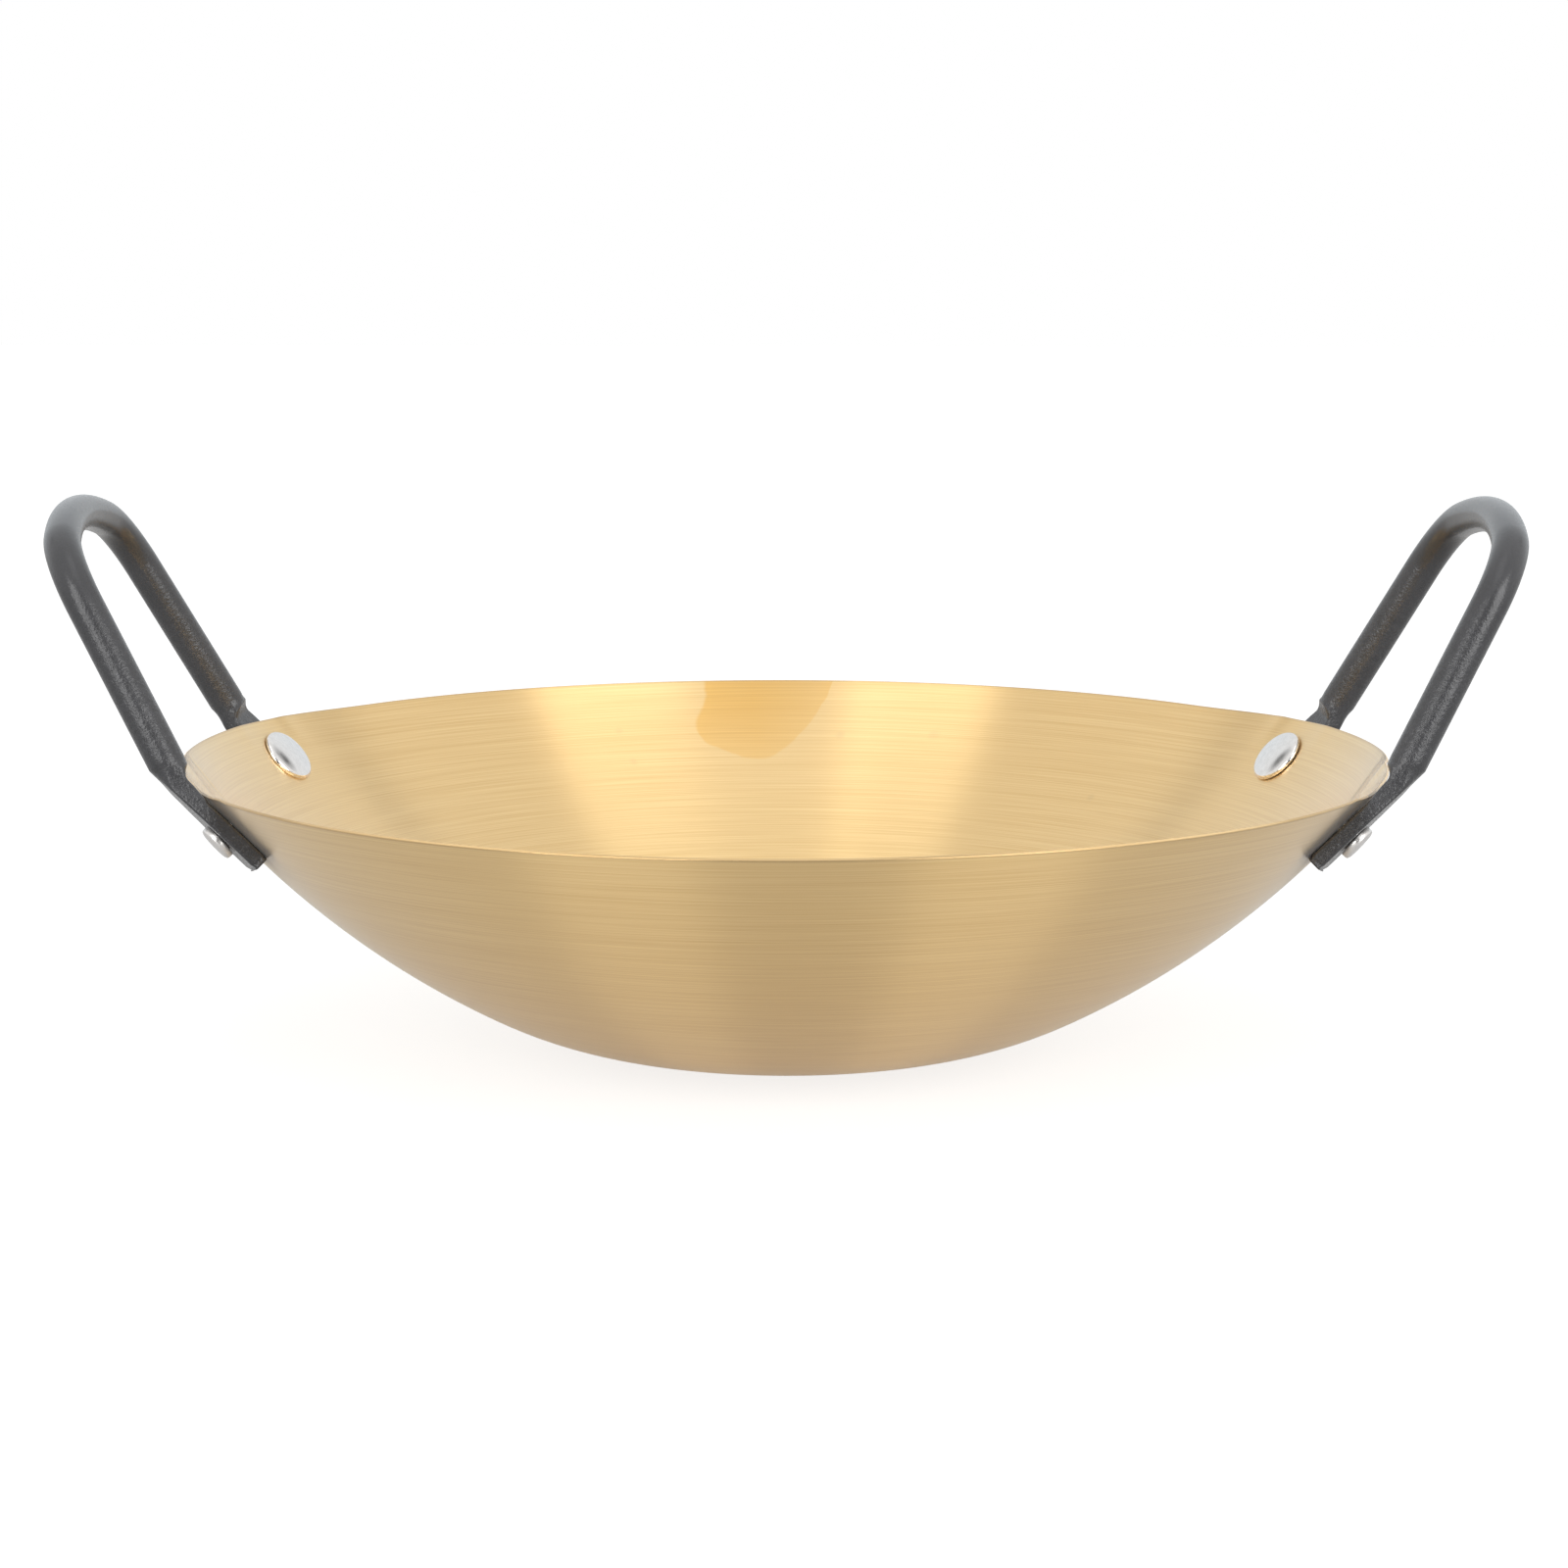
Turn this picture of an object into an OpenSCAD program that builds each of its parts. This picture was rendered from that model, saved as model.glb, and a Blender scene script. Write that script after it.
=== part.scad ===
// Two-eared wok: a spun sheet bowl, two bent rod handles with pressed ends, four solid rivets.
// The origin is at the middle of the underside of the flat base. +Z is up and X runs through both handles.

/* [Bowl] */
// Outside diameter across the rim
rim_d = 240; // [200:1:300]
// Diameter of the flat base
base_d = 54; // [40:1:70]
// Outside radius of the curve that rises from the base
heel_r = 76; // [60:1:95]
// Outside radius of the curve of the side wall
side_r = 173.6; // [160:0.2:210]
// Steepness of the wall at the rim, in degrees above level
rim_slope = 52.6; // [48:0.2:58]
// Thickness of the sheet
sheet_t = 0.6; // [0.5:0.05:1.5]

/* [Handles] */
// Diameter of the handle rod
rod_d = 7.2; // [6:0.1:9]
// Height of the grip above its bend, measured along the leaning plane of the handle
grip_h = 49.2; // [40:0.2:65]
// Radius of the two corners of the grip, at the middle of the rod
corner_r = 17.4; // [12:0.2:22]
// Radius of the arched top of the grip, at the middle of the rod
crown_r = 98; // [70:1:150]
// Angle of the plane of the handle above level
handle_tilt = 61.5; // [55:0.5:75]
// Angle by which each leg leans towards the other, in the plane of the handle
leg_lean = 12.4; // [4:0.2:15]

/* [Pressed ends] */
// Thickness of the pressed end
tab_t = 3; // [2.2:0.1:3.6]
// Width of the pressed end
tab_w = 12; // [9:0.1:14]
// Length of the pressed end below the middle of its rivet
tab_tail = 8.6; // [7.5:0.1:12]
// Length of the full pressed thickness above the middle of the rivet
tab_head = 12.2; // [10.5:0.1:14]
// Length over which the rod is pressed down into the flat end
shoulder_l = 6.6; // [4:0.1:9]
// Distance of the place where the pressed end touches the wall below the rim, along the wall
touch_drop = 17; // [9:0.5:17]
// Radius of the two corners at the cut end
tab_corner_r = 0.8; // [0.4:0.1:2]

/* [Rivets] */
// Angle between the handle's middle and each of its rivets, seen from above
rivet_azimuth = 22.9; // [20:0.1:27]
// Distance of the rivet below the rim, along the wall
rivet_drop = 8.6; // [7:0.1:12]
// Diameter of the rivet's shank
shank_d = 5; // [4:0.1:6]
// Diameter of the domed head inside the bowl
head_d = 12.3; // [9:0.1:13]
// Height of the domed head at its middle
head_h = 1.4; // [1:0.1:2.5]
// Height of the upright edge of the domed head
head_edge_h = 0.4; // [0.2:0.05:0.8]
// Diameter of the closed end outside the handle
tail_d = 7.2; // [6.2:0.1:9]
// Height of the closed end outside the handle
tail_h = 1.5; // [1:0.1:2.5]
// Width of the bevel round the closed end
tail_bevel = 0.45; // [0.2:0.05:0.8]

/* [Clearances] */
// Gap between the pressed end and the wall where it comes nearest
seat_gap = 0.1; // [0.05:0.01:0.3]
// Gap all round the shank in its holes
hole_gap = 0.1; // [0.05:0.01:0.3]
// Gap between each rivet head and the metal under it
head_gap = 0.05; // [0.02:0.01:0.2]

/* [Hidden] */
$fn = 96;

gold = [0.80, 0.66, 0.42];
charcoal = [0.22, 0.22, 0.23];
silver = [0.82, 0.82, 0.83];

// Overrun of cuts past the faces that they open
overrun = 1;
// Length by which one stretch of the rod laps into the next
lap = 0.5;
// The legs and the arched top are slimmer than the corners by this, so that their ends lie inside them
sink = 0.05;
// Points round each section of the pressed shoulder, and sections along it
ring_points = 24;
ring_count = 12;
// Share of the shoulder where the press starts to bite
press_start_share = 0.42;
// Squareness of a pressed section, from 1 for round down to 0 for square
tab_square_share = 0.28;

// Bowl profile, in the half plane of radius and height
base_r = base_d / 2;
heel_end = asin((base_r + side_r * sin(rim_slope) - rim_d / 2) / (side_r - heel_r));
heel_c = [base_r, heel_r];
side_c = heel_c - (side_r - heel_r) * slope_dir(heel_end);
rim_h = side_c[1] - side_r * cos(rim_slope);

// Steepness of the wall at the rivet and where the pressed end touches it
rivet_slope = slope_at(rivet_drop);
touch_slope = slope_at(touch_drop);

// The pressed end lies flat in the plane that touches the wall, and runs square to Y
tab_n = wall_out(touch_slope);
tab_up = unit([-tab_n[2], 0, tab_n[0]]);
tab_turn = atan(cos(touch_slope) * tan(rivet_azimuth));
tab_shift = touch_drop - rivet_drop;
tab_o = wall_point(touch_slope) + seat_gap * tab_n - tab_shift * wall_down(touch_slope);
tab_reach = tab_head + shoulder_l;

// The leg starts at the bend, where the outer side of the rod runs on into the outer face of the tab
rod_r = rod_d / 2;
leg_up = [cos(leg_lean) * cos(handle_tilt), -sin(leg_lean), cos(leg_lean) * sin(handle_tilt)];
leg_out = unit(tab_n - (tab_n * leg_up) * leg_up);
bend_p = tab_o + tab_t * tab_n + tab_reach * tab_up;
foot_p = bend_p - rod_r * leg_out;
bend_angle = acos(leg_up * tab_up);

// Middle line of the grip, in the plane of the handle: [across, up], with up zero at the foot
foot_y = foot_p[1];
lean_dir = [-sin(leg_lean), cos(leg_lean)];
crown_c = [0, grip_h - crown_r];
inner_start = [foot_y, 0] - corner_r * [cos(leg_lean), sin(leg_lean)] - crown_c;
along = -inner_start * lean_dir
    + sqrt(pow(inner_start * lean_dir, 2) - inner_start * inner_start + pow(crown_r - corner_r, 2));
corner_c = inner_start + crown_c + along * lean_dir;
crown_half = atan2(corner_c[0], corner_c[1] - crown_c[1]);

// Height of the outer face of the pressed end above the wall at the rivet, under the raised side of the rivet's end
tab_lean = rivet_slope - touch_slope;
tab_out_z = (tab_o + tab_t * tab_n - wall_point(rivet_slope)) * wall_out(rivet_slope) + tail_d / 2 * sin(tab_lean);

// Drop of the wall below the flat underside of a rivet's head
head_sag = sagitta(head_d / 2, (side_r - sheet_t) * sin(rivet_slope));

// Place and directions on the outside of the wall, at the azimuth of the rivets
function slope_at(drop) = rim_slope - drop / side_r * 180 / PI;
function slope_dir(slope) = [sin(slope), -cos(slope)];
function outward(x, z) = [x * cos(rivet_azimuth), x * sin(rivet_azimuth), z];
function wall_r(slope) = side_c[0] + side_r * sin(slope);
function wall_z(slope) = side_c[1] - side_r * cos(slope);
function wall_point(slope) = outward(wall_r(slope), wall_z(slope));
function wall_out(slope) = outward(sin(slope), -cos(slope));
function wall_down(slope) = outward(-cos(slope), -sin(slope));

function unit(v) = v / norm(v);
function mix(a, b, share) = a + (b - a) * share;
function ease(share) = let (s = min(1, max(0, share))) s * s * (3 - 2 * s);
function sagitta(half, r) = r - sqrt(r * r - half * half);
function signed_pow(v, power) = sign(v) * pow(abs(v), power);

// Thickness, half width, squareness and place of the section of the shoulder at a share of its length
function press(share) = ease((share - press_start_share) / (1 - press_start_share));
function shoulder_t(share) = mix(rod_d - share * shoulder_l * sin(bend_angle), tab_t, press(share));
function shoulder_w(share) = mix(rod_r, tab_w / 2, ease(share));
function shoulder_power(share) = mix(1, tab_square_share, ease(share));
function shoulder_p(share) = bend_p - share * shoulder_l * tab_up;

function section(outer_p, up, out, thick, half_w, power, inset) =
    let (out_dir = unit(out - (out * up) * up))
    let (side_dir = cross(out_dir, up))
    let (mid = outer_p - out_dir * thick / 2)
    [
        for (i = [0 : ring_points - 1])
            let (turn = 360 * (i + 0.5) / ring_points)
            mid
            + side_dir * (half_w - inset) * signed_pow(cos(turn), power)
            + out_dir * (thick / 2 - inset) * signed_pow(sin(turn), power)
    ];

function shoulder_section(share) = section(
    shoulder_p(share),
    unit(mix(leg_up, tab_up, ease(share))),
    unit(mix(leg_out, tab_n, ease(share))),
    shoulder_t(share),
    shoulder_w(share),
    shoulder_power(share),
    2 * sink
);

// Surface through a list of sections that run one way, closed at both ends
module loft(sections) {
    count = len(sections);
    points = [for (ring = sections) each ring];
    sides = [
        for (j = [0 : count - 2], i = [0 : ring_points - 1])
            let (k = (i + 1) % ring_points)
            each [
                [j * ring_points + i, j * ring_points + k, (j + 1) * ring_points + k],
                [j * ring_points + i, (j + 1) * ring_points + k, (j + 1) * ring_points + i]
            ]
    ];
    first = [for (i = [0 : ring_points - 1]) ring_points - 1 - i];
    last = [for (i = [0 : ring_points - 1]) (count - 1) * ring_points + i];
    polyhedron(points, concat(sides, [first, last]));
}

// Filled half section of the bowl, from its face at the given depth in the sheet up past the mouth
module bowl_section(depth) {
    far_r = 2 * side_r;
    union() {
        translate([-overrun, depth])
            square([base_r + overrun, heel_r - depth]);
        translate(heel_c)
            circle(r = heel_r - depth, $fn = 360);
        intersection() {
            translate(side_c)
                circle(r = side_r - depth, $fn = 360);
            polygon([
                side_c,
                side_c + far_r * slope_dir(heel_end),
                side_c + far_r * slope_dir(rim_slope),
                side_c + [far_r, 0]
            ]);
        }
    }
}

// Half section of the sheet, with its edge cut square to the wall
module sheet_section() {
    rim_in = side_c + (side_r - sheet_t - overrun) * slope_dir(rim_slope);
    rim_out = side_c + (side_r + overrun) * slope_dir(rim_slope);
    intersection() {
        difference() {
            bowl_section(0);
            bowl_section(sheet_t);
        }
        polygon([
            [0, -overrun],
            [rim_out[0], -overrun],
            rim_out,
            rim_in,
            [0, rim_in[1]]
        ]);
    }
}

// Puts a shape on the outside of the wall where it has the given slope: +Z out of the wall, +X down it
module on_wall(slope, side_x, side_y) {
    mirror([side_x < 0 ? 1 : 0, 0, 0])
        mirror([0, side_y < 0 ? 1 : 0, 0])
            rotate([0, 0, rivet_azimuth])
                translate([wall_r(slope), 0, wall_z(slope)])
                    rotate([0, 180 - slope, 0])
                        children();
}

// Drill for a rivet, through the sheet and the pressed end
module rivet_hole(side_x, side_y) {
    on_wall(rivet_slope, side_x, side_y)
        translate([0, 0, -sheet_t - overrun])
            cylinder(d = shank_d + 2 * hole_gap, h = sheet_t + tab_t + 3 * overrun);
}

module wok_bowl() {
    color(gold)
        difference() {
            rotate_extrude($fn = 180)
                sheet_section();
            for (side_x = [-1, 1], side_y = [-1, 1])
                rivet_hole(side_x, side_y);
        }
}

// Flat end of the rod: straight cut with small corners, drilled for its rivet
module tab(side_x, side_y) {
    difference() {
        on_wall(touch_slope, side_x, side_y)
            translate([-tab_shift, 0, seat_gap])
                rotate([0, 0, tab_turn])
                    linear_extrude(height = tab_t)
                        tab_outline();
        rivet_hole(side_x, side_y);
    }
}

module tab_outline() {
    straight_l = tab_head + tab_tail;
    union() {
        translate([-tab_head, -tab_w / 2])
            square([straight_l - tab_corner_r, tab_w]);
        translate([-tab_head, tab_corner_r - tab_w / 2])
            square([straight_l, tab_w - 2 * tab_corner_r]);
        for (side = [-1, 1])
            translate([tab_tail - tab_corner_r, side * (tab_w / 2 - tab_corner_r)])
                circle(r = tab_corner_r, $fn = 32);
    }
}

// Shoulder where the round rod is bent and pressed flat, lapping into the leg and into the tab
module shoulder() {
    loft(concat(
        [
            section(bend_p + lap * leg_up, leg_up, leg_out, rod_d, rod_r, 1, 2 * sink)
        ],
        [for (i = [0 : ring_count]) shoulder_section(i / ring_count)],
        [
            section(
                shoulder_p(1) - lap * tab_up, tab_up, tab_n,
                tab_t, tab_w / 2, tab_square_share, 2 * sink
            )
        ]
    ));
}

// Round bar of the grip, in the plane of the handle: two corners, with the legs and the arched top lapping into them
module grip() {
    lap_angle = lap / crown_r * 180 / PI;
    translate([foot_p[0], 0, foot_p[2]])
        rotate([0, 90 - handle_tilt, 0])
            rotate([90, 0, 90])
                union() {
                    bar_arc(crown_c, crown_r, rod_r - sink, 90 - crown_half - lap_angle, 90 + crown_half + lap_angle);
                    for (flip = [0, 1])
                        mirror([flip, 0, 0]) {
                            leg();
                            bar_arc(corner_c, corner_r, rod_r, leg_lean, 90 - crown_half);
                        }
                }
}

module leg() {
    translate([foot_y, 0])
        rotate([0, 0, leg_lean])
            rotate([-90, 0, 0])
                cylinder(r = rod_r - sink, h = along + lap, $fn = 48);
}

module bar_arc(centre, r, bar_r, from, to) {
    translate(centre)
        rotate([0, 0, from])
            rotate_extrude(angle = to - from, $fn = 144)
                translate([r, 0])
                    circle(r = bar_r, $fn = 48);
}

module handle(side_x) {
    color(charcoal)
        union() {
            mirror([side_x < 0 ? 1 : 0, 0, 0]) {
                grip();
                for (flip = [0, 1])
                    mirror([0, flip, 0])
                        shoulder();
            }
            for (side_y = [-1, 1])
                tab(side_x, side_y);
        }
}

// Solid rivet: domed head inside the bowl, shank through both pieces, bevelled end outside
module rivet(side_x, side_y) {
    head_z = -sheet_t - head_sag - head_gap;
    tail_z = tab_out_z + head_gap;
    dome_r = (pow(head_d / 2, 2) + pow(head_h - head_edge_h, 2)) / (2 * (head_h - head_edge_h));
    color(silver)
        on_wall(rivet_slope, side_x, side_y)
            union() {
                translate([0, 0, head_z])
                    mirror([0, 0, 1])
                        rotate_extrude()
                            intersection() {
                                square([head_d / 2, head_h]);
                                translate([0, head_h - dome_r])
                                    circle(r = dome_r, $fn = 360);
                            }
                translate([0, 0, head_z])
                    cylinder(d = shank_d, h = tail_z - head_z);
                translate([0, 0, tail_z])
                    cylinder(d = tail_d, h = tail_h - tail_bevel);
                translate([0, 0, tail_z + tail_h - tail_bevel])
                    cylinder(d1 = tail_d, d2 = tail_d - 2 * tail_bevel, h = tail_bevel);
            }
}

wok_bowl();
handle(-1);  // left_handle
handle(1);  // right_handle
rivet(-1, -1);  // rivet_left_front
rivet(-1, 1);  // rivet_left_rear
rivet(1, -1);  // rivet_right_front
rivet(1, 1);  // rivet_right_rear
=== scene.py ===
import bpy
import numpy as np
from mathutils import Matrix, Vector


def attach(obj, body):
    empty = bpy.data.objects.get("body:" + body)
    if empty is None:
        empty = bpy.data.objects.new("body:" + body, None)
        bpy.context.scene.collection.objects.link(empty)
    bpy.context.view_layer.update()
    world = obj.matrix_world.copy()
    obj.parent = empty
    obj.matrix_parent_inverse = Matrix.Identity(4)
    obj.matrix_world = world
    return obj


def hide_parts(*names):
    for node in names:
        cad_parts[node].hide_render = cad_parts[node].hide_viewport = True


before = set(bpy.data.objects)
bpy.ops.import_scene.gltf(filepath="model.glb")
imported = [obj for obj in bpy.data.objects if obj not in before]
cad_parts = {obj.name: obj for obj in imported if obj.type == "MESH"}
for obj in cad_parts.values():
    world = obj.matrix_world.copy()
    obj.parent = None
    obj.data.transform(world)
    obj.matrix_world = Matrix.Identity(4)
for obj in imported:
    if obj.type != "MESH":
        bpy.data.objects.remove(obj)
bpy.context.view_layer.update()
mm = 0.001
print("frame loaded:", sorted(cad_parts))


# helpers: numbers

def unit(v):
    # each vector divided by its length
    v = np.asarray(v, float)
    return v / np.linalg.norm(v, axis=-1, keepdims=True)


def mix(a, b, share):
    # a at share 0, b at share 1
    return a + (b - a) * share


def ease(share):
    # three times the square less twice the cube, held at 0 and 1 outside
    s = np.clip(share, 0, 1)
    return s * s * (3 - 2 * s)


def bell(x, width):
    # falls from 1 at the middle to 1/e at one width away
    return np.exp(-(x / width) ** 2)


def turnFrom(middle, angle):
    # the shorter way round from middle to angle, with its sign
    return (angle - middle + np.pi) % (2 * np.pi) - np.pi


# helpers: meshes

def ringSurface(name, rings, start, end, uv=None):
    # rings: rows of points that close on themselves, joined row to row; start and end each close one end with a fan
    rows, cols, _ = rings.shape
    i = np.arange(rows - 1)[:, None] * cols
    j = np.arange(cols)[None, :]
    k = (j + 1) % cols
    quads = np.stack([i + j, i + k, i + cols + k, i + cols + j], -1).reshape(-1, 4)
    startPole, lastRow = rows * cols, (rows - 1) * cols
    tris = np.concatenate([
        np.stack([np.full(cols, startPole), k[0], j[0]], -1),
        np.stack([np.full(cols, startPole + 1), lastRow + j[0], lastRow + k[0]], -1),
    ])
    points = np.concatenate([rings.reshape(-1, 3), [start, end]])
    # six times the volume inside: the sum over triangles of a dot (b cross c); below zero the faces point inwards
    fan = np.concatenate([quads[:, [0, 1, 2]], quads[:, [0, 2, 3]], tris])
    a, b, c = (points[fan[:, n]] for n in range(3))
    if np.einsum("ij,ij->i", a, np.cross(b, c)).sum() < 0:
        quads, tris = quads[:, ::-1], tris[:, ::-1]
    mesh = bpy.data.meshes.new(name)
    mesh.from_pydata((points * mm).tolist(), [], quads.tolist() + tris.tolist())
    mesh.polygons.foreach_set("use_smooth", np.ones(len(mesh.polygons), bool))
    if uv is not None:
        layBrushMap(mesh, uv)
    mesh.validate()
    mesh.update()
    piece = bpy.data.objects.new(name, mesh)
    bpy.context.scene.collection.objects.link(piece)
    return piece


def layBrushMap(mesh, uv):
    # uv: turn and place of each ring point, both from 0 to 1
    startPole = uv.shape[0] * uv.shape[1]
    vertex = np.zeros(len(mesh.loops), np.int32)
    mesh.loops.foreach_get("vertex_index", vertex)
    coords = np.concatenate([uv.reshape(-1, 2), np.zeros((2, 2))])[vertex]
    sizes = np.zeros(len(mesh.polygons), np.int32)
    mesh.polygons.foreach_get("loop_total", sizes)
    face = np.repeat(np.arange(len(sizes)), sizes)
    # a face over the seam takes the turn past 1, and a face at a pole the turn of its ring
    pole = vertex >= startPole
    top = np.zeros(len(sizes))
    np.maximum.at(top, face, np.where(pole, 0, coords[:, 0]))
    wrap = (top[face] > 0.75) & (coords[:, 0] < 0.25)
    coords[wrap, 0] += 1
    coords[pole, 0] = top[face[pole]]
    coords[pole, 1] = np.where(vertex[pole] == startPole, 0.0, uv[-1, 0, 1])
    mesh.uv_layers.new(name="brush").data.foreach_set("uv", coords.astype(np.float32).ravel())


def markPoints(piece, name, values):
    # one number for each point, which the finish reads under this name
    made = piece.data.attributes.new(name, "FLOAT", "POINT")
    made.data.foreach_set("value", np.asarray(values).astype(np.float32))


# helpers: materials

def clearTree(owner, outputKind):
    owner.use_nodes = True
    tree = owner.node_tree
    tree.nodes.clear()
    return tree, tree.nodes.new("ShaderNodeOutput" + outputKind)


def newMaterial(name):
    material = bpy.data.materials.new(name)
    tree, out = clearTree(material, "Material")
    return material, tree, out


def node(tree, kind, settings=None, **inputs):
    made = tree.nodes.new("ShaderNode" + kind)
    for key, value in (settings or {}).items():
        setattr(made, key, value)
    fill(tree, made, {key.replace("_", " "): value for key, value in inputs.items()})
    return made


def fill(tree, made, values):
    # i0, i1 and so on stand for sockets by number, and all other keys for sockets by name
    for key, value in values.items():
        socket = made.inputs[int(key[1:])] if key[0] == "i" and key[1:].isdigit() else made.inputs[key]
        if isinstance(value, bpy.types.NodeSocket):
            tree.links.new(value, socket)
        else:
            socket.default_value = value


def maths(tree, operation, a, b=0.0, c=0.0):
    return node(tree, "Math", {"operation": operation}, i0=a, i1=b, i2=c).outputs[0]


def times(tree, a, b):
    return maths(tree, "MULTIPLY", a, b)


def plus(tree, a, b):
    return maths(tree, "ADD", a, b)


def minus(tree, a, b):
    return maths(tree, "SUBTRACT", a, b)


def spread(tree, value, low, high, toLow=0.0, toHigh=1.0, kind="LINEAR"):
    # low to high becomes toLow to toHigh, held outside
    made = node(tree, "MapRange", {"interpolation_type": kind}, Value=value)
    fill(tree, made, {"From Min": low, "From Max": high, "To Min": toLow, "To Max": toHigh})
    return made.outputs[0]


def tint(tree, share, a, b, blend="MIX"):
    return node(tree, "Mix", {"data_type": "RGBA", "blend_type": blend}, i0=share, i6=a, i7=b).outputs[2]


def noise(tree, at, scale, detail, roughness=0.5, distortion=0.0):
    made = node(tree, "TexNoise", Vector=at, Scale=scale, Detail=detail, Roughness=roughness, Distortion=distortion)
    return made.outputs[0]


def pieceCoords(tree):
    return node(tree, "TexCoord").outputs["Object"]


def marked(tree, name):
    return node(tree, "Attribute", {"attribute_name": name}).outputs["Fac"]


def bumped(tree, height, strength, depth):
    return node(tree, "Bump", Strength=strength, Distance=depth, Height=height).outputs[0]


# bowl: a closed surface of revolution, up the outside, over the cut edge and down the inside; sizes in mm and degrees

bowl = {
    "baseR": 27.0, "heelR": 76.0, "sideR": 173.6, "rimSlope": 52.6, "rimR": 120.0, "sheet": 0.6,
    # rounds at the outer and inner corner of the cut edge, and half the length over which one arc flows into the next
    "outerRound": 0.15, "innerRound": 0.05, "soften": 5.0,
    # the grid: steps of the running sums, columns, how much they crowd towards the handles, rows up the wall,
    # extra rows at these distances from the rim, rows on a round of the edge, and how far the flat keeps off the rounds
    "steps": 6000, "columns": 600, "crowding": 0.3, "wallRows": 62, "rimRows": (0.8, 0.4),
    "edgeRows": 5, "flatGap": 0.03,
    # waves from the spinning: height, number in a turn, phase; and how far below the rim they are gone
    "waves": ((0.10, 2, 0.7), (0.06, 3, 2.1), (0.03, 5, 4.4)), "waveReach": 90.0,
    # each handle end pulls the wall outwards: depth, half width, reach down the wall
    "pull": (0.34, 8.5, 15.0),
    # creases beside each pull: depth, distance from the rivet away from the middle of the handle, what that gains for
    # each mm down the wall, half width, reach
    "creases": ((0.16, 8.0, 0.25, 2.2, 11.0), (0.096, -9.5, -0.2, 2.6, 9.0)),
    # the rim stands a little high beside the far feet: azimuth and amount; half the bump's length, the length of its
    # slopes in degrees, and its reach down the wall
    "lifts": ((11.0, 1.4), (169.0, 1.15)), "liftHalf": 30.0, "liftSlope": 22.0, "liftReach": 34.0,
    # the rim is drawn in between the feet of each handle: azimuth and amount; share and half width of the two bells
    # that make its shape, and its reach down the wall
    "notches": ((-7.0, 1.0), (187.0, 0.9)), "notchShape": ((0.6, 7.0), (0.4, 2.5)), "notchReach": 16.0,
    # a dent runs down the wall beside each notch: azimuth at the rim and degrees for each mm down; height and half
    # width of its ridge; depth of the hollow beside it and its distance, as shares of those; half width of its painted
    # shade line
    "dents": ((-0.4, -0.28), (180.3, 0.09)), "ridge": (0.20, 0.95), "hollow": (0.6, 1.7), "creaseShadeWidth": 0.5,
    # below the rim: where a dent is full, where it starts to fade, and how long the fade is
    "dentFull": 4.0, "dentEnd": 15.0, "dentFade": 5.0,
    # painted shade at the outer corner of the cut edge, on its flat and at its inner corner, and how far it reaches
    # down the walls
    "edgeShadeOuter": 0.65, "edgeShadeFlat": 0.35, "edgeShadeInner": 0.7, "edgeShadeReach": 0.3,
}

# the four rivets: azimuth from the handle's middle and distance below the rim
rivetPlace = {"azimuth": 22.9, "drop": 8.6}
rivetTurns = [np.radians(a) for a in (
    rivetPlace["azimuth"], 180 - rivetPlace["azimuth"], 180 + rivetPlace["azimuth"], -rivetPlace["azimuth"],
)]


def bowlCentres():
    # the heel arc stands on the edge of the flat base, and the side arc meets it at the slope where
    # (sideR - heelR) sin(slope) = baseR + sideR sin(rimSlope) - rimR, which brings the rim to its radius
    p = bowl
    slope = np.radians(p["rimSlope"])
    heelEnd = np.arcsin((p["baseR"] + p["sideR"] * np.sin(slope) - p["rimR"]) / (p["sideR"] - p["heelR"]))
    heelC = np.array([p["baseR"], p["heelR"]])
    sideC = heelC - (p["sideR"] - p["heelR"]) * np.array([np.sin(heelEnd), -np.cos(heelEnd)])
    return heelEnd, sideC, sideC[1] - p["sideR"] * np.cos(slope)


heelEnd, sideC, rimH = bowlCentres()


def bowlProfile():
    # the slope is the running sum of the curvature along the wall, and the radius and height are the running sums of
    # its cosine and sine, stretched to end at the rim
    p = bowl
    heelArc = p["heelR"] * heelEnd
    sideArc = p["sideR"] * (np.radians(p["rimSlope"]) - heelEnd)
    length = p["baseR"] + heelArc + sideArc
    s = np.linspace(0, length, p["steps"])
    w = p["soften"]
    curve = ease((s - p["baseR"] + w) / (2 * w)) / p["heelR"]
    curve += ease((s - p["baseR"] - heelArc + w) / (2 * w)) * (1 / p["sideR"] - 1 / p["heelR"])

    def between(v):
        return (v[1:] + v[:-1]) / 2

    def runningSum(v):
        return np.concatenate([[0], np.cumsum(v) * (s[1] - s[0])])

    slope = runningSum(between(curve))
    r, z = runningSum(np.cos(between(slope))), runningSum(np.sin(between(slope)))
    r *= p["rimR"] / r[-1]
    z *= rimH / z[-1]
    at = np.linspace(0, length, p["wallRows"] + 1)[1:]
    at = np.concatenate([at[:-1], length - np.array(p["rimRows"]), [length]])
    return at, np.interp(at, s, r), np.interp(at, s, z), np.interp(at, s, slope), length


def besideLine(angle, drop, azimuth, turn=0.0):
    # how far round to the side of a line down the wall a point lies: the line starts at the azimuth and turns as it drops
    side = turnFrom(np.radians(azimuth + turn * drop), angle) * bowl["rimR"]
    return side * np.sign(np.cos(np.radians(azimuth)))


def dentShare(drop):
    # grows from the rim to where the dent is full, and fades out further down
    p = bowl
    return ease(drop / p["dentFull"]) * ease((p["dentEnd"] - drop) / p["dentFade"])


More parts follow.
